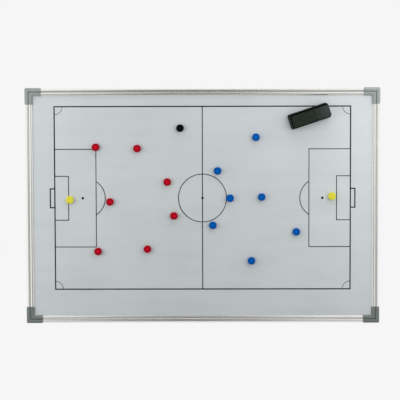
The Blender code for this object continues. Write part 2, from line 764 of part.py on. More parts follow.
def add_eraser():
    place = eraser_matrix()
    felt = plate_mesh("eraser_felt", [eraser_outline(FELT_INSET)], FELT_THICKNESS)
    add_piece("eraser_felt", felt, "felt", place)

    grip_base = FELT_THICKNESS + FIT
    grip = plate_mesh("eraser_grip", [eraser_outline(0)], ERASER_GRIP_HEIGHT)
    grip_top = ERASER_GRIP_HEIGHT - FIT
    shrink_x = 1 - (ERASER_DRAFT + ERASER_TAIL_DRAFT) / ERASER_LENGTH
    shrink_y = 1 - 2 * ERASER_DRAFT / ERASER_WIDTH
    shift = (ERASER_TAIL_DRAFT - ERASER_DRAFT) / 2
    for vertex in grip.vertices:
        if vertex.co.z > grip_top:
            vertex.co.x = vertex.co.x * shrink_x + shift
            vertex.co.y *= shrink_y
    shape = bmesh.new()
    shape.from_mesh(grip)
    top_edges = [e for e in shape.edges if all(v.co.z > grip_top for v in e.verts)]
    rim = [e for e in top_edges if e.calc_face_angle() > SHARP_ANGLE]
    bmesh.ops.bevel(
        shape,
        geom=rim,
        offset=ERASER_EDGE_RADIUS,
        segments=ERASER_EDGE_STEPS,
        profile=0.5,
        affect="EDGES",
    )
    shape.to_mesh(grip)
    shape.free()
    grip.transform(Matrix.Translation((0, 0, grip_base)))
    body = add_piece("eraser_grip", grip, "grip", place, smooth=True)

    x = STRIP_LENGTH / 2
    y = STRIP_WIDTH / 2
    strip_top = grip_base + STRIP_THICKNESS
    strip = box_mesh("eraser_strip", (-x, -y, grip_base), (x, y, strip_top))
    pocket = box_mesh(
        "strip_pocket",
        (-x - FIT, -y - FIT, grip_base - CUT_MARGIN),
        (x + FIT, y + FIT, strip_top + FIT),
    )
    add_piece("eraser_strip", strip, "strip", place)
    add_boolean(body, add_cutter("strip_pocket", pocket, place), "DIFFERENCE")


clear_scene()
PARTS = new_collection("magnetic_whiteboard")
CUTTERS = new_collection("cutters")
add_panel()
add_frame()
add_corner_caps()
add_hanger("hanger_left", -1)
add_hanger("hanger_right", 1)
add_print()
add_counters()
add_eraser()
settle_pieces()
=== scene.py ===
"""Studio scene of a wall-hung magnetic tactics board: its finishes, small parts, lights and camera.

Metres, +Z up. The wall is the plane Y = 0 and the writing face looks along -Y.
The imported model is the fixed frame. Its nodes get node materials here, and the counters, the felt
and the screws are modelled again in finer form in the places that the frame gives.
"""

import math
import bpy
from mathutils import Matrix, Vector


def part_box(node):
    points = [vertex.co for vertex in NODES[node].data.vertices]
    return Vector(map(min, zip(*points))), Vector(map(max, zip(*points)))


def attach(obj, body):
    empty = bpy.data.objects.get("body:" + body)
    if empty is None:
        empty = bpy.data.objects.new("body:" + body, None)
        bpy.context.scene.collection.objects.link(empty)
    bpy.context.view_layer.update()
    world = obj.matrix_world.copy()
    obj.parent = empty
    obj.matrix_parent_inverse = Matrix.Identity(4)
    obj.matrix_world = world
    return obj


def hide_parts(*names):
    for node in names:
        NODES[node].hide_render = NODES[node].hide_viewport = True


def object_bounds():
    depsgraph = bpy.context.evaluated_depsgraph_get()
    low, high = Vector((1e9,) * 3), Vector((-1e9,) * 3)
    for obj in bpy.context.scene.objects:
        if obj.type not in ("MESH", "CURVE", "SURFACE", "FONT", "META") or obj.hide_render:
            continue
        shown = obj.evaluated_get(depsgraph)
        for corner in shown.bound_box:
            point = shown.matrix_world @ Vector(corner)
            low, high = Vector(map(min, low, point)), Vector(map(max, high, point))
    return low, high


bl_info = {
    "name": "Magnetic Tactics Board",
    "version": (1, 0, 0),
    "blender": (4, 5, 0),
    "location": "3D View > Sidebar > Tactics Board",
    "description": "Finishes a magnetic tactics board and sets up its studio",
    "category": "Object",
}

import bmesh
import bpy
from bpy.props import FloatProperty, FloatVectorProperty, IntProperty, PointerProperty
from bpy.types import Operator, Panel, PropertyGroup
from mathutils import Matrix, Vector, noise

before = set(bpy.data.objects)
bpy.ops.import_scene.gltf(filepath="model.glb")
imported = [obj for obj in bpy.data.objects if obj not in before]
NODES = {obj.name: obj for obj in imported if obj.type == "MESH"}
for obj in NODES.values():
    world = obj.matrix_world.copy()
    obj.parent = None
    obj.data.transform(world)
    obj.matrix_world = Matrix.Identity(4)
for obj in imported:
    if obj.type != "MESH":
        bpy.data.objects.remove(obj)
CAD_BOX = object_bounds()
MM = 0.001

# Sockets of the colour Mix node, whose names repeat for each data type
MIX_FACTOR = 0
MIX_A = 6
MIX_B = 7
MIX_RESULT = 2

# How many counters of each colour there are, and how much of its colour painted shade leaves on their edge
COUNTER_SETS = {"red": (7, 0.6), "blue": (7, 0.75), "yellow": (2, 0.95), "black": (1, 0.9)}
CORNERS = ["top_left", "top_right", "bottom_left", "bottom_right"]

# Edges that turn by more than this stay sharp, and points nearer than this are welded
SHARP_ANGLE = math.radians(35)
TOUCHING = 0.001 * MM

# Turned parts are made along Z: a counter then stands out from the face, a screw's head at the wall
OUT_OF_FACE = Matrix.Rotation(math.radians(90), 4, "X")
INTO_WALL = Matrix.Rotation(math.radians(-90), 4, "X")

# The crease between the frame's two beads: how far it lies inside the outer edge, to what distances
# from its middle its painted shade is full and ends, and how far from the wall the shaded front begins
CREASE_INSET = 10.3 * MM
CREASE_X = CAD_BOX[1].x - CREASE_INSET
CREASE_Z = CAD_BOX[1].z - CREASE_INSET
CREASE_SHADE = (0.3 * MM, 1.6 * MM)
SHADED_FRONT = (10.5 * MM, 12 * MM)

# Painted shade on a counter's edge sets in between these shares of its radius
EDGE_SHADE_SPAN = (0.3, 0.6)

# Painted shade multiplies the lower caps' colour, and fades out this far over and under the board's middle
LOWER_SHADE_FADE = 100 * MM
LOWER_SHADE = (0.62, 0.63, 0.63, 1)

# The eraser lies with its round nose up and to the right
ERASER_TILT = math.radians(18.4)
TO_NOSE = (math.cos(ERASER_TILT), 0, math.sin(ERASER_TILT))
TO_UPPER_SIDE = (-math.sin(ERASER_TILT), 0, math.cos(ERASER_TILT))

# From where to where, out from the grip's middle, the nose's painted highlight and the upper side's
# band of painted shade set in
NOSE_HIGHLIGHT_SPAN = (14 * MM, 54 * MM)
UPPER_SHADE_BAND = (13.7 * MM, 14.4 * MM)

# Facets of a counter's section, over its crown and round its edge
CROWN_STEPS = 8
EDGE_STEPS = 7

# The corner screws: radius of the shank, bevel of the rim, depth of the recess, facets round, and
# the degrees from one screw's turn to the next one's
SCREW_NECK = 1.2 * MM
SCREW_RIM = 0.15 * MM
RECESS_DEPTH = 1.4 * MM
SCREW_STEPS = 40
SCREW_TURN = 37

# Each softbox: its place in metres, the side of its square and the setting with its power
SOFTBOXES = {
    "softbox_right": ((0.79, -0.5, 0.34), 1.1, "right_power"),
    "softbox_left": ((-1.15, -0.65, 0.22), 1.1, "left_power"),
    "softbox_top": ((0.2, -0.3, 2.4), 2.2, "top_power"),
    "softbox_rear": ((0.9, 2.2, 1.2), 1.4, "rear_power"),
}

# Each cloth: its left, right and top edge in metres, how far before the flag it hangs, its density
CLOTHS = {"flag": (-0.37, 0.235, 2.2, 0, 0.86), "scrim": (-1.0, 1.7, -0.05, 0.01, 0.42)}
CLOTH_FOOT = -1.4

# The floor's radius, and from where to where it fades into the backdrop, in metres
FLOOR_RADIUS = 5
FLOOR_FADE = (1.5, 4.5)

# The point of the wall that the camera looks at, and how far it is turned about its view
CAMERA_AIM = (-6.4 * MM, 0, 13.9 * MM)
CAMERA_ROLL = math.radians(-0.17)


def linear(hex_colour):
    """Scene-linear red, green and blue of an sRGB hex colour."""
    values = [int(hex_colour[i : i + 2], 16) / 255 for i in (1, 3, 5)]
    return tuple(c / 12.92 if c <= 0.04045 else ((c + 0.055) / 1.055) ** 2.4 for c in values)


def colour_setting(name, description, hex_colour):
    return FloatVectorProperty(
        name=name, description=description, subtype="COLOR", min=0, max=1, default=linear(hex_colour)
    )


def size_setting(name, description, millimetres):
    return FloatProperty(
        name=name, description=description, unit="LENGTH", min=0, precision=5, default=millimetres * MM
    )


def power_setting(name, description, watts):
    return FloatProperty(name=name, description=description, unit="POWER", min=0, default=watts)


class BoardSettings(PropertyGroup):
    """Colours and sizes of the panel's and the frame's finishes."""

    lacquer: colour_setting("Lacquer", "Dry-wipe lacquer of the writing face", "#cbd0d2")
    haze: colour_setting("Haze", "Where wiping has left the lacquer hazy", "#c4cbcc")
    ink: colour_setting("Ink", "Screen-printed pitch lines", "#0a0c0e")
    kraft: colour_setting("Kraft", "Cut edge of the core board", "#8a7355")
    galvanised: colour_setting("Galvanised", "Zinc-coated back sheet", "#b2b7ba")
    aluminium: colour_setting("Aluminium", "Anodised rails", "#fefdfa")
    # The rails' crease colour is painted shade
    dust_and_shade: colour_setting("Dust", "Dust in the crease of the rails", "#a8a59c")
    plastic: colour_setting("Corner plastic", "Moulded corner caps", "#929a97")
    # The corner caps' crease colour is painted shade
    cap_crease_shade: colour_setting("Cap dust", "Dust in the crease of the corner caps", "#4c5251")
    zinc: colour_setting("Zinc", "Plated screws and hangers", "#c3c7c9")
    edge_radius: size_setting("Edge radius", "Rounding of the caps' and hangers' edges", 0.2)
    cloud_size: size_setting("Cloud size", "Spacing of the hazy clouds on the lacquer", 160)
    streak_length: size_setting("Streak length", "Length of the streaks that wiping leaves", 222)
    streak_width: size_setting("Streak width", "Width of the streaks that wiping leaves", 30.3)
    orange_peel: size_setting("Orange peel", "Spacing of the lacquer's fine waviness", 2.5)
    die_line: size_setting("Die line", "Spacing of the lines that extrusion leaves on the rails", 0.5)
    spangle: size_setting("Spangle", "Size of the zinc crystals on the back sheet", 7.0)
    grain: size_setting("Grain", "Spacing of the moulded grain on the caps", 0.7)


class CounterSettings(PropertyGroup):
    """Colours and form of the magnet counters."""

    red: colour_setting("Red", "Red counters", "#cb0c26")
    blue: colour_setting("Blue", "Blue counters", "#0460bb")
    yellow: colour_setting("Yellow", "Yellow counters", "#e4dc42")
    black: colour_setting("Black", "Black counter", "#060907")
    ferrite: colour_setting("Ferrite", "Magnet disc inside a counter", "#3b3c3e")
    edge_radius: size_setting("Edge radius", "Rounding between the top and the side", 1.4)
    crown: size_setting("Crown", "How far the top rises in its middle", 0.35)
    base_inset: size_setting("Base inset", "How much narrower the foot is than the top edge", 0.6)
    foot_chamfer: size_setting("Foot chamfer", "Bevel round the foot", 0.25)
    clearance: size_setting("Clearance", "Gap between the disc and its pocket", 0.3)
    grain: size_setting("Grain", "Spacing of the moulded grain on the counters", 0.8)
    steps: IntProperty(name="Steps", description="Facets round a counter", min=16, max=128, default=64)


class EraserSettings(PropertyGroup):
    """Colours and form of the eraser."""

    shell: colour_setting("Shell", "Moulded grip", "#1c231d")
    fleck: colour_setting("Fleck", "Paler flecks of the grip's grained top", "#333c35")
    fleck_size: size_setting("Fleck size", "Spacing of the flecks", 3.2)
    # Painted highlight on the grip's round nose
    nose_highlight: colour_setting("Scuff", "Where the grip's nose is rubbed pale", "#3c423e")
    # Painted shade, near black, on the grip's rim and sides and along its upper side
    rim: colour_setting("Rim", "Smooth rounded rim and sides of the grip", "#030404")
    end_slope: FloatProperty(
        name="End slope",
        description="How far the grip's sloping end faces the front",
        subtype="FACTOR",
        min=0,
        max=1,
        default=0.33,
    )
    felt: colour_setting("Felt", "Pressed felt pad", "#26292b")
    dust_and_shade: colour_setting("Dust", "Marker dust caught in the felt", "#15171a")
    strip: colour_setting("Strip", "Flexible magnet strip", "#37302c")
    grain: size_setting("Grain", "Spacing of the grip's moulded grain", 0.9)
    voxel: size_setting("Voxel", "Mesh size of the felt", 0.9)
    fuzz: size_setting("Fuzz", "Unevenness of the felt's surface", 0.35)
    fibre: size_setting("Fibre", "Spacing of the felt's fibres", 0.35)


class StudioSettings(PropertyGroup):
    """Backdrop, lights and camera."""

    paper: colour_setting("Paper", "Floor and backdrop", "#f6f6f6")
    ambient: FloatProperty(
        name="Ambient", description="Level of light from all round", min=0, default=0.16
    )
    right_power: power_setting("Right power", "Softbox on the right", 7.7)
    left_power: power_setting("Left power", "Softbox on the left", 11.8)
    top_power: power_setting("Top power", "Softbox overhead, for the floor and the upper edges", 48)
    rear_power: power_setting("Rear power", "Softbox behind the board, for its back", 32)
    flag: colour_setting("Flag", "Dark cloth that the front reflects", "#454543")
    flag_distance: size_setting("Flag distance", "From the flag to the wall", 1600)
    floor_drop: size_setting("Floor drop", "Height of the board's centre over the floor", 1500)
    camera_distance: size_setting("Camera distance", "From the lens to the wall", 5000)
    camera_side: size_setting("Camera side", "How far right of the board's centre the lens is", 52)
    camera_height: size_setting("Camera height", "How far over the board's centre the lens is", 437)
    lens: FloatProperty(name="Lens", description="Focal length in millimetres", min=1, default=177.35)


def add_node(tree, kind, inputs=None, **settings):
    """Adds a node, sets its properties, and sets or links its inputs, given by name or by number."""
    node = tree.nodes.new(kind)
    for name, value in settings.items():
        setattr(node, name, value)
    for socket, value in (inputs or {}).items():
        if isinstance(value, bpy.types.NodeSocket):
            tree.links.new(value, node.inputs[socket])
        else:
            node.inputs[socket].default_value = value
    return node


def new_material(name):
    """A node material with a Principled shader. Returns it with its tree, shader and place in metres."""
    material = bpy.data.materials.new(name)
    material.use_nodes = True
    tree = material.node_tree
    tree.nodes.clear()
    shader = add_node(tree, "ShaderNodeBsdfPrincipled")
    add_node(tree, "ShaderNodeOutputMaterial", {"Surface": shader.outputs["BSDF"]})
    place = add_node(tree, "ShaderNodeTexCoord").outputs["Object"]
    return material, tree, shader, place


def lacquered_steel(settings):
    """Coil-coated sheet steel under a baked polyester dry-wipe lacquer.

    Cool white and semi-gloss. Wiping leaves wide, faint clouds and streaks that run along the board.
    The waviness of the lacquer is finer than the render shows, so it only softens reflections.
    """
    material, tree, shader, place = new_material("dry_wipe_polyester_lacquer")
    cloud = add_node(
        tree, "ShaderNodeTexNoise", {"Vector": place, "Scale": 1 / settings.cloud_size, "Detail": 3}
    )
    stretch = (1 / settings.streak_length, 1 / settings.streak_length, 1 / settings.streak_width)
    along = add_node(tree, "ShaderNodeMapping", {"Vector": place, "Scale": stretch})
    streak = add_node(tree, "ShaderNodeTexNoise", {"Vector": along.outputs[0], "Scale": 1, "Detail": 4})
    both = add_node(
        tree, "ShaderNodeMath", {0: cloud.outputs[0], 1: streak.outputs[0]}, operation="MULTIPLY"
    )
    haze = add_node(
        tree, "ShaderNodeMapRange", {"Value": both.outputs[0], "From Min": 0.15, "From Max": 0.4}
    )
    colour = add_node(
        tree,
        "ShaderNodeMix",
        {MIX_FACTOR: haze.outputs[0], MIX_A: (*settings.lacquer, 1), MIX_B: (*settings.haze, 1)},
        data_type="RGBA",
    )
    rough = add_node(
        tree, "ShaderNodeMapRange", {"Value": haze.outputs[0], "To Min": 0.3, "To Max": 0.4}
    )
    peel = add_node(
        tree, "ShaderNodeTexNoise", {"Vector": place, "Scale": 1 / settings.orange_peel, "Detail": 2}
    )
    bump = add_node(
        tree, "ShaderNodeBump", {"Height": peel.outputs[0], "Strength": 0.25, "Distance": 0.01 * MM}
    )
    tree.links.new(colour.outputs[MIX_RESULT], shader.inputs["Base Color"])
    tree.links.new(rough.outputs[0], shader.inputs["Roughness"])
    tree.links.new(bump.outputs[0], shader.inputs["Normal"])
    shader.inputs["IOR"].default_value = 1.5
    return material


def screen_ink(settings):
    """Solvent ink printed through a mesh: near black, a little uneven in density, with a soft sheen."""
    material, tree, shader, place = new_material("screen_printed_ink")
    density = add_node(tree, "ShaderNodeTexNoise", {"Vector": place, "Scale": 1 / (4 * MM), "Detail": 4})
    thin = tuple(1.9 * c for c in settings.ink)
    colour = add_node(
        tree,
        "ShaderNodeMix",
        {MIX_FACTOR: density.outputs[0], MIX_A: (*settings.ink, 1), MIX_B: (*thin, 1)},
        data_type="RGBA",
    )
    weave = add_node(tree, "ShaderNodeTexNoise", {"Vector": place, "Scale": 1 / (0.4 * MM)})
    bump = add_node(
        tree, "ShaderNodeBump", {"Height": weave.outputs[0], "Strength": 0.4, "Distance": 0.01 * MM}
    )
    tree.links.new(colour.outputs[MIX_RESULT], shader.inputs["Base Color"])
    tree.links.new(bump.outputs[0], shader.inputs["Normal"])
    shader.inputs["Roughness"].default_value = 0.5
    shader.inputs["Specular IOR Level"].default_value = 0.15
    return material


def kraft_board(settings):
    """Cut edge of pressed kraft board: brown, matt and fibrous."""
    material, tree, shader, place = new_material("pressed_kraft_board")
    fibre = add_node(
        tree,
        "ShaderNodeTexNoise",
        {"Vector": place, "Scale": 1 / (1.5 * MM), "Detail": 6, "Roughness": 0.7},
    )
    pale = tuple(1.35 * c for c in settings.kraft)
    colour = add_node(
        tree,
        "ShaderNodeMix",
        {MIX_FACTOR: fibre.outputs[0], MIX_A: (*settings.kraft, 1), MIX_B: (*pale, 1)},
        data_type="RGBA",
    )
    bump = add_node(
        tree, "ShaderNodeBump", {"Height": fibre.outputs[0], "Strength": 0.6, "Distance": 0.1 * MM}
    )
    tree.links.new(colour.outputs[MIX_RESULT], shader.inputs["Base Color"])
    tree.links.new(bump.outputs[0], shader.inputs["Normal"])
    shader.inputs["Roughness"].default_value = 0.9
    return material


def galvanised_steel(settings):
    """Hot-dip galvanised sheet: dull zinc whose crystals, the spangle, reflect a little differently."""
    material, tree, shader, place = new_material("hot_dip_galvanised_steel")
    warp = add_node(
        tree, "ShaderNodeTexNoise", {"Vector": place, "Scale": 2 / settings.spangle, "Detail": 2}
    )
    shifted = add_node(
        tree,
        "ShaderNodeVectorMath",
        {0: warp.outputs["Color"], 1: (settings.spangle / 2,) * 3, 2: place},
        operation="MULTIPLY_ADD",
    )
    crystal = add_node(
        tree, "ShaderNodeTexVoronoi", {"Vector": shifted.outputs[0], "Scale": 1 / settings.spangle}
    )
    tone = add_node(tree, "ShaderNodeSeparateColor", {"Color": crystal.outputs["Color"]})
    dark = tuple(0.84 * c for c in settings.galvanised)
    colour = add_node(
        tree,
        "ShaderNodeMix",
        {MIX_FACTOR: tone.outputs[0], MIX_A: (*dark, 1), MIX_B: (*settings.galvanised, 1)},
        data_type="RGBA",
    )
    rough = add_node(
        tree, "ShaderNodeMapRange", {"Value": tone.outputs[1], "To Min": 0.38, "To Max": 0.58}
    )
    bump = add_node(
        tree, "ShaderNodeBump", {"Height": tone.outputs[2], "Strength": 0.15, "Distance": 0.02 * MM}
    )
    tree.links.new(colour.outputs[MIX_RESULT], shader.inputs["Base Color"])
    tree.links.new(rough.outputs[0], shader.inputs["Roughness"])
    tree.links.new(bump.outputs[0], shader.inputs["Normal"])
    shader.inputs["Metallic"].default_value = 1
    return material


def paint_crease_shade(tree, place, clean, dust_and_shade):
    """Colour of the frame with painted shade in the front's crease, which turns at each corner."""
    sides = add_node(tree, "ShaderNodeVectorMath", {0: place}, operation="ABSOLUTE")
    inward = add_node(
        tree,
        "ShaderNodeVectorMath",
        {0: sides.outputs[0], 1: (CREASE_X, 0, CREASE_Z)},
        operation="SUBTRACT",
    )
    parts = add_node(tree, "ShaderNodeSeparateXYZ", {"Vector": inward.outputs[0]})
    nearer = add_node(
        tree, "ShaderNodeMath", {0: parts.outputs["X"], 1: parts.outputs["Z"]}, operation="MAXIMUM"
    )
    gap = add_node(tree, "ShaderNodeMath", {0: nearer.outputs[0]}, operation="ABSOLUTE")
    depth = add_node(
        tree,
        "ShaderNodeMapRange",
        {"Value": gap.outputs[0], "From Min": CREASE_SHADE[1], "From Max": CREASE_SHADE[0]},
    )
    front = add_node(
        tree,
        "ShaderNodeMapRange",
        {"Value": parts.outputs["Y"], "From Min": SHADED_FRONT[0], "From Max": SHADED_FRONT[1]},
    )
    share = add_node(
        tree, "ShaderNodeMath", {0: depth.outputs[0], 1: front.outputs[0]}, operation="MULTIPLY"
    )
    crease_shaded = add_node(
        tree,
        "ShaderNodeMix",
        {MIX_FACTOR: share.outputs[0], MIX_A: clean, MIX_B: (*dust_and_shade, 1)},
        data_type="RGBA",
    )
    return crease_shaded.outputs[MIX_RESULT]


def anodised_aluminium(settings, direction):
    """Extruded and satin-anodised aluminium: a soft, pale sheen with fine lines along the rail, X or Z.

    The die leaves the lines. They are drawn a few times coarser than they are, so that they show.
    """
    material, tree, shader, place = new_material("satin_anodised_aluminium_along_" + direction)
    across = 1 / settings.die_line
    along = 1 / (180 * MM)
    stretch = (along, across, across) if direction == "x" else (across, across, along)
    lines = add_node(tree, "ShaderNodeMapping", {"Vector": place, "Scale": stretch})
    line = add_node(
        tree,
        "ShaderNodeTexNoise",
        {"Vector": lines.outputs[0], "Scale": 1, "Detail": 3, "Roughness": 0.6},
    )
    bath = add_node(tree, "ShaderNodeTexNoise", {"Vector": place, "Scale": 1 / (45 * MM), "Detail": 2})
    shade = add_node(
        tree, "ShaderNodeMath", {0: line.outputs[0], 1: bath.outputs[0]}, operation="MULTIPLY"
    )
    dull = tuple(0.93 * c for c in settings.aluminium)
    bare = add_node(
        tree,
        "ShaderNodeMix",
        {MIX_FACTOR: shade.outputs[0], MIX_A: (*settings.aluminium, 1), MIX_B: (*dull, 1)},
        data_type="RGBA",
    )
    # Painted shade darkens the crease along the rail's front
    colour = paint_crease_shade(tree, place, bare.outputs[MIX_RESULT], settings.dust_and_shade)
    rough = add_node(
        tree, "ShaderNodeMapRange", {"Value": line.outputs[0], "To Min": 0.22, "To Max": 0.32}
    )
    bump = add_node(
        tree, "ShaderNodeBump", {"Height": line.outputs[0], "Strength": 0.2, "Distance": 0.003 * MM}
    )
    tree.links.new(colour, shader.inputs["Base Color"])
    tree.links.new(rough.outputs[0], shader.inputs["Roughness"])
    tree.links.new(bump.outputs[0], shader.inputs["Normal"])
    shader.inputs["Metallic"].default_value = 1
    return material


def paint_lower_shade(tree, place, clean, dust_and_shade):
    """Colour of the corner caps: painted shade in their crease, and more painted shade on the lower two."""
    crease_shaded = paint_crease_shade(tree, place, clean, dust_and_shade)
    parts = add_node(tree, "ShaderNodeSeparateXYZ", {"Vector": place})
    low = add_node(
        tree,
        "ShaderNodeMapRange",
        {"Value": parts.outputs["Z"], "From Min": LOWER_SHADE_FADE, "From Max": -LOWER_SHADE_FADE},
    )
    lower_shaded = add_node(
        tree,
        "ShaderNodeMix",
        {MIX_FACTOR: low.outputs[0], MIX_A: crease_shaded, MIX_B: LOWER_SHADE},
        data_type="RGBA",
        blend_type="MULTIPLY",
    )
    return lower_shaded.outputs[MIX_RESULT]


def paint_edge_shade(tree, place, clean, extent):
    """Colour of a counter darkened towards its edge by painted shade."""
    radius, shade = extent
    begin, end = (share * radius for share in EDGE_SHADE_SPAN)
    flat = add_node(tree, "ShaderNodeVectorMath", {0: place, 1: (1, 1, 0)}, operation="MULTIPLY")
    away = add_node(tree, "ShaderNodeVectorMath", {0: flat.outputs[0]}, operation="LENGTH")
    edge = add_node(
        tree, "ShaderNodeMapRange", {"Value": away.outputs["Value"], "From Min": begin, "From Max": end}
    )
    dark = add_node(
        tree,
        "ShaderNodeMix",
        {MIX_FACTOR: edge.outputs[0], MIX_A: clean, MIX_B: (shade, shade, shade, 1)},
        data_type="RGBA",
        blend_type="MULTIPLY",
    )
    return dark.outputs[MIX_RESULT]


def grip_reach(tree, place, direction):
    """How far a point of the eraser's grip lies from its middle in one direction."""
    low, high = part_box("eraser_grip")
    inside = add_node(tree, "ShaderNodeVectorMath", {0: place, 1: (low + high) / 2}, operation="SUBTRACT")
    reach = add_node(
        tree, "ShaderNodeVectorMath", {0: inside.outputs[0], 1: direction}, operation="DOT_PRODUCT"
    )
    return reach.outputs["Value"]


def grain_with_painted_light(tree, place, clean, settings):
    """Colour of the grip: flecked on its grained top and ends, painted shade near black on rim and sides.

    The flecks are the mould's grain, drawn a few times coarser than it is so that they show. The painted
    shade is a wider band along the upper side, and a painted highlight lightens the round nose.
    """
    grain = add_node(
        tree, "ShaderNodeTexNoise", {"Vector": place, "Scale": 1 / settings.fleck_size, "Detail": 3}
    )
    fleck = add_node(
        tree, "ShaderNodeMapRange", {"Value": grain.outputs[0], "From Min": 0.44, "From Max": 0.66}
    )
    flecked = add_node(
        tree,
        "ShaderNodeMix",
        {MIX_FACTOR: fleck.outputs[0], MIX_A: clean, MIX_B: (*settings.fleck, 1)},
        data_type="RGBA",
    )
    # Painted highlight towards the round nose
    along = grip_reach(tree, place, TO_NOSE)
    lit_nose = add_node(
        tree, "ShaderNodeMapRange", {"Value": along, "From Min": NOSE_HIGHLIGHT_SPAN[0], "From Max": NOSE_HIGHLIGHT_SPAN[1]}
    )
    highlighted = add_node(
        tree,
        "ShaderNodeMix",
        {MIX_FACTOR: lit_nose.outputs[0], MIX_A: flecked.outputs[MIX_RESULT], MIX_B: (*settings.nose_highlight, 1)},
        data_type="RGBA",
    )
    up = grip_reach(tree, place, TO_UPPER_SIDE)
    band = add_node(
        tree, "ShaderNodeMapRange", {"Value": up, "From Min": UPPER_SHADE_BAND[0], "From Max": UPPER_SHADE_BAND[1]}
    )
    normal = add_node(tree, "ShaderNodeTexCoord").outputs["Normal"]
    to_nose = add_node(tree, "ShaderNodeVectorMath", {0: normal, 1: TO_NOSE}, operation="DOT_PRODUCT")
    not_nose = add_node(
        tree,
        "ShaderNodeMapRange",
        {"Value": to_nose.outputs["Value"], "From Min": 0.2, "From Max": 0.4, "To Min": 1, "To Max": 0},
    )
    facing = add_node(tree, "ShaderNodeVectorMath", {0: normal, 1: (0, -1, 0)}, operation="DOT_PRODUCT")
    off = add_node(
        tree, "ShaderNodeMath", {0: facing.outputs["Value"], 1: settings.end_slope}, operation="SUBTRACT"
    )
    tilt = add_node(tree, "ShaderNodeMath", {0: off.outputs[0]}, operation="ABSOLUTE")
    not_end = add_node(
        tree, "ShaderNodeMapRange", {"Value": tilt.outputs[0], "From Min": 0.07, "From Max": 0.13}
    )
    not_top = add_node(
        tree,
        "ShaderNodeMapRange",
        {"Value": facing.outputs["Value"], "From Min": 0.96, "From Max": 0.99, "To Min": 1, "To Max": 0},
    )
    # Painted shade: on what faces neither the front nor the way of the sloping end, except at the nose
    smooth = add_node(
        tree, "ShaderNodeMath", {0: not_end.outputs[0], 1: not_top.outputs[0]}, operation="MULTIPLY"
    )
    rim = add_node(
        tree, "ShaderNodeMath", {0: smooth.outputs[0], 1: not_nose.outputs[0]}, operation="MULTIPLY"
    )
    black = add_node(
        tree, "ShaderNodeMath", {0: rim.outputs[0], 1: band.outputs[0]}, operation="MAXIMUM"
    )
    dark = add_node(
        tree,
        "ShaderNodeMix",
        {MIX_FACTOR: black.outputs[0], MIX_A: highlighted.outputs[MIX_RESULT], MIX_B: (*settings.rim, 1)},
        data_type="RGBA",
    )
    return dark.outputs[MIX_RESULT]


def moulded_plastic(name, colour, grain, depth, rough, gloss, marks, extent):
    """Injection-moulded plastic from a spark-eroded mould: a fine even grain and slight flow marks.

    The function in marks adds painted shade and highlights, and on the eraser its grain's flecks,
    with its colour, size or settings in extent.
    """
    material, tree, shader, place = new_material(name)
    flow = add_node(tree, "ShaderNodeTexNoise", {"Vector": place, "Scale": 1 / (9 * MM), "Detail": 3})
    deep = tuple(0.84 * c for c in colour)
    mixed = add_node(
        tree,
        "ShaderNodeMix",
        {MIX_FACTOR: flow.outputs[0], MIX_A: (*colour, 1), MIX_B: (*deep, 1)},
        data_type="RGBA",
    )
    tint = marks(tree, place, mixed.outputs[MIX_RESULT], extent)
    pits = add_node(tree, "ShaderNodeTexNoise", {"Vector": place, "Scale": 1 / grain, "Detail": 2})
    uneven = add_node(
        tree, "ShaderNodeMapRange", {"Value": pits.outputs[0], "To Min": rough[0], "To Max": rough[1]}
    )
    bump = add_node(
        tree, "ShaderNodeBump", {"Height": pits.outputs[0], "Strength": 0.5, "Distance": depth}
    )
    tree.links.new(tint, shader.inputs["Base Color"])
    tree.links.new(uneven.outputs[0], shader.inputs["Roughness"])
    tree.links.new(bump.outputs[0], shader.inputs["Normal"])
    shader.inputs["Specular IOR Level"].default_value = gloss
    return material


def zinc_plated_steel(settings):
    """Rolled steel with bright zinc plating: fine rolling lines under a faintly bluish, cloudy coat."""
    material, tree, shader, place = new_material("bright_zinc_plated_steel")
    lines = add_node(
        tree, "ShaderNodeMapping", {"Vector": place, "Scale": (1 / (25 * MM), 1 / MM, 1 / (0.4 * MM))}
    )
    line = add_node(tree, "ShaderNodeTexNoise", {"Vector": lines.outputs[0], "Scale": 1, "Detail": 3})
    cloud = add_node(tree, "ShaderNodeTexNoise", {"Vector": place, "Scale": 1 / (12 * MM), "Detail": 3})
    blue = (0.86 * settings.zinc[0], 0.92 * settings.zinc[1], settings.zinc[2])
    colour = add_node(
        tree,
        "ShaderNodeMix",
        {MIX_FACTOR: cloud.outputs[0], MIX_A: (*settings.zinc, 1), MIX_B: (*blue, 1)},
        data_type="RGBA",
    )
    rough = add_node(
        tree, "ShaderNodeMapRange", {"Value": line.outputs[0], "To Min": 0.24, "To Max": 0.42}
    )
    bump = add_node(
        tree, "ShaderNodeBump", {"Height": line.outputs[0], "Strength": 0.2, "Distance": 0.02 * MM}
    )
    tree.links.new(colour.outputs[MIX_RESULT], shader.inputs["Base Color"])
    tree.links.new(rough.outputs[0], shader.inputs["Roughness"])
    tree.links.new(bump.outputs[0], shader.inputs["Normal"])
    shader.inputs["Metallic"].default_value = 1
    return material


def sintered_ferrite(settings):
    """Pressed and sintered ferrite: dark grey ceramic with a granular, slightly chipped look."""
    material, tree, shader, place = new_material("sintered_ferrite")
    grains = add_node(
        tree,
        "ShaderNodeTexNoise",
        {"Vector": place, "Scale": 1 / (0.5 * MM), "Detail": 5, "Roughness": 0.7},
    )
    pale = tuple(1.8 * c for c in settings.ferrite)
    colour = add_node(
        tree,
        "ShaderNodeMix",
        {MIX_FACTOR: grains.outputs[0], MIX_A: (*settings.ferrite, 1), MIX_B: (*pale, 1)},
        data_type="RGBA",
    )
    bump = add_node(
        tree, "ShaderNodeBump", {"Height": grains.outputs[0], "Strength": 0.5, "Distance": 0.05 * MM}
    )
    tree.links.new(colour.outputs[MIX_RESULT], shader.inputs["Base Color"])
    tree.links.new(bump.outputs[0], shader.inputs["Normal"])
    shader.inputs["Roughness"].default_value = 0.6
    return material


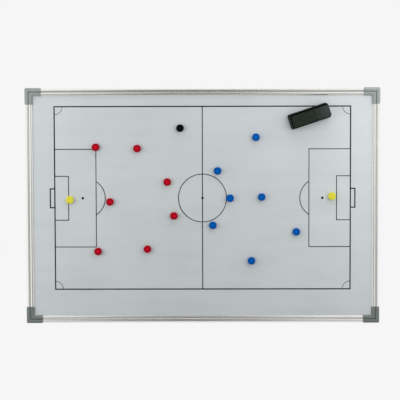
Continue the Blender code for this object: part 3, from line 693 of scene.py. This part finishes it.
def magnet_rubber(settings):
    """Extruded magnet rubber: matt, brown-black, finely speckled by the ferrite powder in it."""
    material, tree, shader, place = new_material("flexible_magnet_rubber")
    speck = add_node(tree, "ShaderNodeTexNoise", {"Vector": place, "Scale": 1 / (0.6 * MM), "Detail": 4})
    pale = tuple(1.6 * c for c in settings.strip)
    colour = add_node(
        tree,
        "ShaderNodeMix",
        {MIX_FACTOR: speck.outputs[0], MIX_A: (*settings.strip, 1), MIX_B: (*pale, 1)},
        data_type="RGBA",
    )
    bump = add_node(
        tree, "ShaderNodeBump", {"Height": speck.outputs[0], "Strength": 0.3, "Distance": 0.03 * MM}
    )
    tree.links.new(colour.outputs[MIX_RESULT], shader.inputs["Base Color"])
    tree.links.new(bump.outputs[0], shader.inputs["Normal"])
    shader.inputs["Roughness"].default_value = 0.75
    return material


def pressed_felt(settings):
    """Pressed wool felt: matted fibres with no weave, darkened in patches by marker dust."""
    material, tree, shader, place = new_material("pressed_wool_felt")
    fibre = add_node(
        tree,
        "ShaderNodeTexNoise",
        {"Vector": place, "Scale": 1 / settings.fibre, "Detail": 5, "Roughness": 0.75, "Distortion": 1.2},
    )
    clump = add_node(tree, "ShaderNodeTexNoise", {"Vector": place, "Scale": 1 / (5 * MM), "Detail": 3})
    stain = add_node(
        tree, "ShaderNodeMapRange", {"Value": clump.outputs[0], "From Min": 0.45, "From Max": 0.65}
    )
    pale = tuple(2.2 * c for c in settings.felt)
    wool = add_node(
        tree,
        "ShaderNodeMix",
        {MIX_FACTOR: fibre.outputs[0], MIX_A: (*settings.felt, 1), MIX_B: (*pale, 1)},
        data_type="RGBA",
    )
    colour = add_node(
        tree,
        "ShaderNodeMix",
        {MIX_FACTOR: stain.outputs[0], MIX_A: wool.outputs[MIX_RESULT], MIX_B: (*settings.dust_and_shade, 1)},
        data_type="RGBA",
    )
    bump = add_node(
        tree, "ShaderNodeBump", {"Height": fibre.outputs[0], "Strength": 0.8, "Distance": 0.25 * MM}
    )
    tree.links.new(colour.outputs[MIX_RESULT], shader.inputs["Base Color"])
    tree.links.new(bump.outputs[0], shader.inputs["Normal"])
    shader.inputs["Roughness"].default_value = 0.95
    shader.inputs["Sheen Weight"].default_value = 0.25
    shader.inputs["Sheen Roughness"].default_value = 0.5
    return material


def facet_smoother():
    """A modifier's node group: welds a solid's facets and shades them smooth between its sharp edges."""
    group = bpy.data.node_groups.new("smooth_between_sharp_edges", "GeometryNodeTree")
    group.interface.new_socket("Geometry", in_out="INPUT", socket_type="NodeSocketGeometry")
    group.interface.new_socket("Geometry", in_out="OUTPUT", socket_type="NodeSocketGeometry")
    entry = add_node(group, "NodeGroupInput")
    weld = add_node(
        group, "GeometryNodeMergeByDistance", {"Geometry": entry.outputs[0], "Distance": TOUCHING}
    )
    plain = add_node(
        group, "GeometryNodeRemoveAttribute", {"Geometry": weld.outputs[0], "Name": "custom_normal"}
    )
    faces = add_node(
        group,
        "GeometryNodeSetShadeSmooth",
        {"Geometry": plain.outputs[0], "Shade Smooth": True},
        domain="FACE",
    )
    angle = add_node(group, "GeometryNodeInputMeshEdgeAngle")
    gentle = add_node(
        group,
        "FunctionNodeCompare",
        {0: angle.outputs["Unsigned Angle"], 1: SHARP_ANGLE},
        operation="LESS_THAN",
    )
    edges = add_node(
        group,
        "GeometryNodeSetShadeSmooth",
        {"Geometry": faces.outputs[0], "Shade Smooth": gentle.outputs[0]},
        domain="EDGE",
    )
    add_node(group, "NodeGroupOutput", {0: edges.outputs[0]})
    return group


def smooth_facets(piece):
    """Adds the facet smoother to a piece."""
    group = bpy.data.node_groups.get("smooth_between_sharp_edges") or facet_smoother()
    piece.modifiers.new("smooth_facets", "NODES").node_group = group


def round_edges(piece, radius):
    """Rounds a piece's sharp edges a little, so that they catch the light."""
    bevel = piece.modifiers.new("edge_rounding", "BEVEL")
    bevel.width = radius
    bevel.segments = 2
    bevel.limit_method = "ANGLE"
    bevel.angle_limit = SHARP_ANGLE
    piece.modifiers.new("flat_faces", "WEIGHTED_NORMAL").keep_sharp = True


def finish_node(name, material):
    """Gives a node of the frame its material and smooth shading."""
    node = NODES[name]
    node.data.materials.clear()
    node.data.materials.append(material)
    smooth_facets(node)
    return node


def new_object(name, data):
    """A new object of the scene that holds a mesh, a lamp or a camera."""
    made = bpy.data.objects.new(name, data)
    bpy.context.scene.collection.objects.link(made)
    return made


def new_piece(name, mesh, material):
    """A new object of one material that isn't a node of the frame."""
    mesh.materials.clear()
    mesh.materials.append(material)
    return new_object(name, mesh)


def evaluated_mesh(piece):
    """The mesh of a piece with its modifiers applied."""
    return bpy.data.meshes.new_from_object(piece.evaluated_get(bpy.context.evaluated_depsgraph_get()))


def mesh_from(shape, name):
    """A mesh that takes over what was built in a bmesh."""
    mesh = bpy.data.meshes.new(name)
    shape.to_mesh(mesh)
    shape.free()
    return mesh


def arc_points(centre, radius, start, end, steps):
    """Points of an arc between two angles in radians, both ends included."""
    turns = [start + (end - start) * i / steps for i in range(steps + 1)]
    return [(centre[0] + radius * math.cos(t), centre[1] + radius * math.sin(t)) for t in turns]


def turned_mesh(name, profile, steps):
    """A closed mesh turned about Z from a profile in radius and height that starts and ends on the axis."""
    shape = bmesh.new()
    points = [shape.verts.new((radius, 0, height)) for radius, height in profile]
    edges = [shape.edges.new(pair) for pair in zip(points, points[1:])]
    bmesh.ops.spin(
        shape, geom=points + edges, cent=(0, 0, 0), axis=(0, 0, 1), angle=2 * math.pi, steps=steps
    )
    bmesh.ops.remove_doubles(shape, verts=shape.verts, dist=TOUCHING)
    bmesh.ops.recalc_face_normals(shape, faces=shape.faces)
    mesh = mesh_from(shape, name)
    mesh.shade_smooth()
    mesh.set_sharp_from_angle(angle=SHARP_ANGLE)
    return mesh


def stand_at(node, end):
    """A shift to the middle of a node's front end, min, or of its wall end, max."""
    low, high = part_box(node)
    centre = (low + high) / 2
    return Matrix.Translation((centre.x, end(low.y, high.y), centre.z))


class BOARD_OT_finish_panel(Operator):
    """Gives the laminated panel and its print their finishes"""

    bl_idname = "tactics_board.finish_panel"
    bl_label = "Finish Panel"

    def execute(self, context):
        settings = context.scene.board_settings
        finish_node("face_sheet", lacquered_steel(settings))
        finish_node("core_board", kraft_board(settings))
        finish_node("back_sheet", galvanised_steel(settings))
        ink = screen_ink(settings)
        for name in ("pitch_lines", "penalty_spot_left", "penalty_spot_right"):
            finish_node(name, ink)
        return {"FINISHED"}


class BOARD_OT_finish_frame(Operator):
    """Gives the rails, the corner caps and the hangers their finishes and rounds their edges"""

    bl_idname = "tactics_board.finish_frame"
    bl_label = "Finish Frame"

    def execute(self, context):
        settings = context.scene.board_settings
        for direction, sides in (("x", ("top", "bottom")), ("z", ("left", "right"))):
            aluminium = anodised_aluminium(settings, direction)
            for side in sides:
                finish_node("rail_" + side, aluminium)
        plastic = moulded_plastic(
            "spark_grained_abs",
            settings.plastic,
            settings.grain,
            depth=0.05 * MM,
            rough=(0.38, 0.52),
            gloss=0.4,
            # The marks paint shade into the caps' crease and onto the lower caps
            marks=paint_lower_shade,
            extent=settings.cap_crease_shade,
        )
        for corner in CORNERS:
            round_edges(finish_node("corner_cap_" + corner, plastic), settings.edge_radius)
        zinc = zinc_plated_steel(settings)
        for side in ("left", "right"):
            round_edges(finish_node("hanger_" + side, zinc), settings.edge_radius)
        return {"FINISHED"}


def screw_profile(radius, length, neck):
    """A countersunk screw: bevelled rim, cone, shank and blunt tip, in radius and height above its tip."""
    head = length - (radius - neck)
    return [
        (0, length),
        (radius - SCREW_RIM, length),
        (radius, length - SCREW_RIM),
        (neck, head),
        (neck, neck / 2),
        (neck / 2, 0),
        (0, 0),
    ]


def cross_recess(radius, depth, length):
    """Two crossed, tapered blades that cut the cross recess in a screw's head."""
    taper = 0.35
    shape = bmesh.new()
    for turn in (0, 90):
        place = Matrix.Rotation(math.radians(turn + 45), 4, "Z") @ Matrix.Translation((0, 0, length))
        size = Matrix.Diagonal((1.1 * radius, 0.2 * radius, 2 * depth, 1))
        made = bmesh.ops.create_cube(shape, size=1, matrix=place @ size)
        for vertex in made["verts"]:
            if vertex.co.z < length:
                vertex.co.x *= taper
                vertex.co.y *= taper
    return mesh_from(shape, "cross_recess")


class BOARD_OT_make_screws(Operator):
    """Makes the cross-recessed screws that hold the corner caps from behind"""

    bl_idname = "tactics_board.make_screws"
    bl_label = "Make Screws"

    def execute(self, context):
        zinc = bpy.data.materials["bright_zinc_plated_steel"]
        low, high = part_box("corner_screw_top_left")
        radius = (high.x - low.x) / 2
        length = high.y - low.y
        whole = turned_mesh("screw", screw_profile(radius, length, SCREW_NECK), SCREW_STEPS)
        blank = new_piece("screw_blank", whole, zinc)
        cutter = new_piece("recess_cutter", cross_recess(radius, RECESS_DEPTH, length), zinc)
        cut = blank.modifiers.new("recess", "BOOLEAN")
        cut.operation = "DIFFERENCE"
        cut.object = cutter
        cut.use_self = True
        mesh = evaluated_mesh(blank)
        if len(mesh.polygons) <= len(whole.polygons):
            raise RuntimeError("The recess wasn't cut into the screw")
        mesh.shade_smooth()
        mesh.set_sharp_from_angle(angle=SHARP_ANGLE)
        bpy.data.objects.remove(blank)
        bpy.data.objects.remove(cutter)
        for i, corner in enumerate(CORNERS):
            node = "corner_screw_" + corner
            screw = new_piece("cross_head_screw_" + corner, mesh, zinc)
            turn = Matrix.Rotation(math.radians(SCREW_TURN * i), 4, "Z")
            screw.matrix_world = stand_at(node, min) @ INTO_WALL @ turn
            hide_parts(node)
            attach(screw, "board")
        return {"FINISHED"}


def counter_profile(settings, radius, height, disc_radius, disc_height):
    """Section of a counter: crowned top, rounded edge, drafted side, chamfered foot, disc's pocket."""
    edge = settings.edge_radius
    flat = radius - edge
    crown = settings.crown
    dome = (flat**2 + crown**2) / (2 * crown)
    spread = math.asin(flat / dome)
    up = math.pi / 2
    top = arc_points((0, height - dome), dome, up, up - spread, CROWN_STEPS)
    top[0] = (0, height)
    rounding = arc_points((flat, height - crown - edge), edge, up - spread, 0, EDGE_STEPS)
    foot = radius - settings.base_inset
    chamfer = settings.foot_chamfer
    pocket = disc_radius + settings.clearance
    ceiling = disc_height + settings.clearance
    return top + rounding[1:] + [
        (foot, chamfer),
        (foot - chamfer, 0),
        (pocket, 0),
        (pocket, ceiling),
        (0, ceiling),
    ]


class BOARD_OT_make_counters(Operator):
    """Makes the magnet counters' caps and gives their discs the look of ferrite"""

    bl_idname = "tactics_board.make_counters"
    bl_label = "Make Counters"

    def execute(self, context):
        settings = context.scene.counter_settings
        low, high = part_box("counter_red_1")
        disc_low, disc_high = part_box("ferrite_red_1")
        radius = (high.x - low.x) / 2
        profile = counter_profile(
            settings,
            radius,
            high.y - low.y,
            (disc_high.x - disc_low.x) / 2,
            disc_high.y - disc_low.y,
        )
        ferrite = sintered_ferrite(settings)
        for colour, (count, shade) in COUNTER_SETS.items():
            name = "moulded_polypropylene_" + colour
            plastic = moulded_plastic(
                name,
                getattr(settings, colour),
                settings.grain,
                depth=0.02 * MM,
                rough=(0.3, 0.42),
                gloss=0.08,
                # The marks paint shade onto the counter's rounded edge
                marks=paint_edge_shade,
                extent=(radius, shade),
            )
            mesh = turned_mesh("counter_cap_" + colour, profile, settings.steps)
            for i in range(1, count + 1):
                body = f"{colour}_{i}"
                node = "counter_" + body
                cap = new_piece("counter_cap_" + body, mesh, plastic)
                cap.matrix_world = stand_at(node, max) @ OUT_OF_FACE
                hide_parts(node)
                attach(cap, body)
                finish_node("ferrite_" + body, ferrite)
        return {"FINISHED"}


def felt_mesh(settings):
    """The felt pad: the frame's solid remeshed fine, its edges worn round and its faces left uneven."""
    pad = new_object("felt_blank", NODES["eraser_felt"].data.copy())
    weld = pad.modifiers.new("weld", "WELD")
    weld.merge_threshold = TOUCHING
    remesh = pad.modifiers.new("remesh", "REMESH")
    remesh.mode = "VOXEL"
    remesh.voxel_size = settings.voxel
    worn = pad.modifiers.new("worn_edges", "SMOOTH")
    worn.factor = 0.5
    worn.iterations = 3
    mesh = evaluated_mesh(pad)
    bpy.data.objects.remove(pad)
    normals = [vertex.normal.copy() for vertex in mesh.vertices]
    for vertex, normal in zip(mesh.vertices, normals):
        fine = 0.5 + 0.5 * noise.noise(vertex.co / (1.6 * MM))
        wide = 0.5 + 0.5 * noise.noise(vertex.co / (9 * MM))
        vertex.co -= normal * settings.fuzz * (0.65 * fine + 0.35 * wide)
    mesh.shade_smooth()
    return mesh


class BOARD_OT_make_eraser(Operator):
    """Makes the eraser's felt pad and gives its grip and magnet strip their finishes"""

    bl_idname = "tactics_board.make_eraser"
    bl_label = "Make Eraser"

    def execute(self, context):
        settings = context.scene.eraser_settings
        plastic = moulded_plastic(
            "textured_polystyrene",
            settings.shell,
            settings.grain,
            depth=0.09 * MM,
            rough=(0.42, 0.6),
            gloss=0.06,
            # The marks paint shade on the grip's rim, sides and upper band, and a highlight on its nose
            marks=grain_with_painted_light,
            extent=settings,
        )
        finish_node("eraser_grip", plastic)
        finish_node("eraser_strip", magnet_rubber(settings))
        felt = new_piece("felt_pad", felt_mesh(settings), pressed_felt(settings))
        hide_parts("eraser_felt")
        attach(felt, "eraser")
        return {"FINISHED"}


def add_softbox(name, place, size, power):
    """A square softbox that faces the board's centre and that no gloss shows, so the rails stay even."""
    light = bpy.data.lights.new(name, "AREA")
    light.size = size
    light.energy = power
    box = new_object(name, light)
    box.location = place
    box.rotation_euler = (-Vector(place)).to_track_quat("-Z", "Y").to_euler()
    box.visible_glossy = False
    box.visible_camera = False


def add_cloth(name, settings):
    """A dark cloth before the board, more or less see-through, that only gloss reflects."""
    left, right, top, ahead, density = CLOTHS[name]
    material, tree, shader, place = new_material("black_cloth_of_" + name)
    nap = add_node(tree, "ShaderNodeTexNoise", {"Vector": place, "Scale": 1 / (6 * MM), "Detail": 3})
    pale = tuple(1.4 * c for c in settings.flag)
    tone = add_node(
        tree,
        "ShaderNodeMix",
        {MIX_FACTOR: nap.outputs[0], MIX_A: (*settings.flag, 1), MIX_B: (*pale, 1)},
        data_type="RGBA",
    )
    tree.links.new(tone.outputs[MIX_RESULT], shader.inputs["Base Color"])
    shader.inputs["Roughness"].default_value = 0.95
    clear = add_node(tree, "ShaderNodeBsdfTransparent")
    weave = add_node(
        tree, "ShaderNodeMixShader", {0: density, 1: clear.outputs[0], 2: shader.outputs[0]}
    )
    tree.links.new(weave.outputs[0], tree.nodes["Material Output"].inputs["Surface"])
    shape = bmesh.new()
    corners = [(left, CLOTH_FOOT), (right, CLOTH_FOOT), (right, top), (left, top)]
    shape.faces.new([shape.verts.new((x, 0, z)) for x, z in corners])
    cloth = new_piece(name, mesh_from(shape, name), material)
    cloth.location = (0, -(settings.flag_distance + ahead), 0)
    cloth.visible_camera = False
    cloth.visible_diffuse = False
    cloth.visible_transmission = False
    cloth.visible_shadow = False


def background_rays(tree):
    """1 for rays that see the backdrop: from the camera, or by way of a gloss or through glass."""
    path = add_node(tree, "ShaderNodeLightPath")
    shiny = add_node(
        tree,
        "ShaderNodeMath",
        {0: path.outputs["Is Glossy Ray"], 1: path.outputs["Is Transmission Ray"]},
        operation="MAXIMUM",
    )
    seen = add_node(
        tree,
        "ShaderNodeMath",
        {0: path.outputs["Is Camera Ray"], 1: shiny.outputs[0]},
        operation="MAXIMUM",
    )
    return seen.outputs[0]


def set_world(settings):
    """A pale backdrop for the eye and for reflections, and a lower, even level of light on the board."""
    world = bpy.data.worlds.new("studio")
    bpy.context.scene.world = world
    world.use_nodes = True
    tree = world.node_tree
    tree.nodes.clear()
    room = add_node(tree, "ShaderNodeBackground", {"Color": (1, 1, 1, 1), "Strength": settings.ambient})
    backdrop = add_node(tree, "ShaderNodeBackground", {"Color": (*settings.paper, 1), "Strength": 1})
    both = add_node(
        tree,
        "ShaderNodeMixShader",
        {0: background_rays(tree), 1: room.outputs[0], 2: backdrop.outputs[0]},
    )
    add_node(tree, "ShaderNodeOutputWorld", {"Surface": both.outputs[0]})


def paper_floor(settings):
    """Matt studio paper that fades into the backdrop towards its rim."""
    material, tree, shader, place = new_material("matt_studio_paper")
    shader.inputs["Base Color"].default_value = (*settings.paper, 1)
    shader.inputs["Roughness"].default_value = 0.95
    away = add_node(tree, "ShaderNodeVectorMath", {0: place}, operation="LENGTH")
    rim = add_node(
        tree,
        "ShaderNodeMapRange",
        {"Value": away.outputs["Value"], "From Min": FLOOR_FADE[0], "From Max": FLOOR_FADE[1]},
    )
    fade = add_node(
        tree, "ShaderNodeMath", {0: rim.outputs[0], 1: background_rays(tree)}, operation="MULTIPLY"
    )
    glow = add_node(tree, "ShaderNodeEmission", {"Color": (*settings.paper, 1), "Strength": 1})
    both = add_node(
        tree, "ShaderNodeMixShader", {0: fade.outputs[0], 1: shader.outputs[0], 2: glow.outputs[0]}
    )
    tree.links.new(both.outputs[0], tree.nodes["Material Output"].inputs["Surface"])
    return material


def add_camera(settings):
    """The photograph's view: nearly square on, from a little right of and over the board's centre."""
    data = bpy.data.cameras.new("camera")
    data.lens = settings.lens
    data.sensor_width = 36
    camera = new_object("camera", data)
    place = Vector((settings.camera_side, -settings.camera_distance, settings.camera_height))
    aim = (Vector(CAMERA_AIM) - place).to_track_quat("-Z", "Y").to_matrix().to_4x4()
    camera.matrix_world = Matrix.Translation(place) @ aim @ Matrix.Rotation(CAMERA_ROLL, 4, "Z")
    bpy.context.scene.camera = camera


class BOARD_OT_set_studio(Operator):
    """Sets up the floor, the backdrop, the softboxes, the cloths that dull the rails and the camera"""

    bl_idname = "tactics_board.set_studio"
    bl_label = "Set Studio"

    def execute(self, context):
        settings = context.scene.studio_settings
        set_world(settings)
        shape = bmesh.new()
        bmesh.ops.create_circle(shape, cap_ends=True, segments=96, radius=FLOOR_RADIUS)
        floor = new_piece("floor", mesh_from(shape, "floor"), paper_floor(settings))
        floor.location = (0, 0, -settings.floor_drop)
        for name, (place, size, power) in SOFTBOXES.items():
            add_softbox(name, place, size, getattr(settings, power))
        for name in CLOTHS:
            add_cloth(name, settings)
        add_camera(settings)
        context.scene.view_settings.view_transform = "Standard"
        return {"FINISHED"}


class BOARD_PT_tactics_board(Panel):
    """Lists the steps that finish the board"""

    bl_idname = "BOARD_PT_tactics_board"
    bl_label = "Tactics Board"
    bl_space_type = "VIEW_3D"
    bl_region_type = "UI"
    bl_category = "Tactics Board"

    def draw(self, context):
        for step in STEPS:
            self.layout.operator(step.bl_idname)


SETTINGS = {
    "board_settings": BoardSettings,
    "counter_settings": CounterSettings,
    "eraser_settings": EraserSettings,
    "studio_settings": StudioSettings,
}
STEPS = [
    BOARD_OT_finish_panel,
    BOARD_OT_finish_frame,
    BOARD_OT_make_screws,
    BOARD_OT_make_counters,
    BOARD_OT_make_eraser,
    BOARD_OT_set_studio,
]
CLASSES = [*SETTINGS.values(), *STEPS, BOARD_PT_tactics_board]


def register():
    for item in CLASSES:
        bpy.utils.register_class(item)
    for name, group in SETTINGS.items():
        setattr(bpy.types.Scene, name, PointerProperty(type=group))


def unregister():
    for name in SETTINGS:
        delattr(bpy.types.Scene, name)
    for item in reversed(CLASSES):
        bpy.utils.unregister_class(item)


def main():
    register()
    for step in STEPS:
        group, action = step.bl_idname.split(".")
        getattr(getattr(bpy.ops, group), action)()


if __name__ == "__main__":
    main()
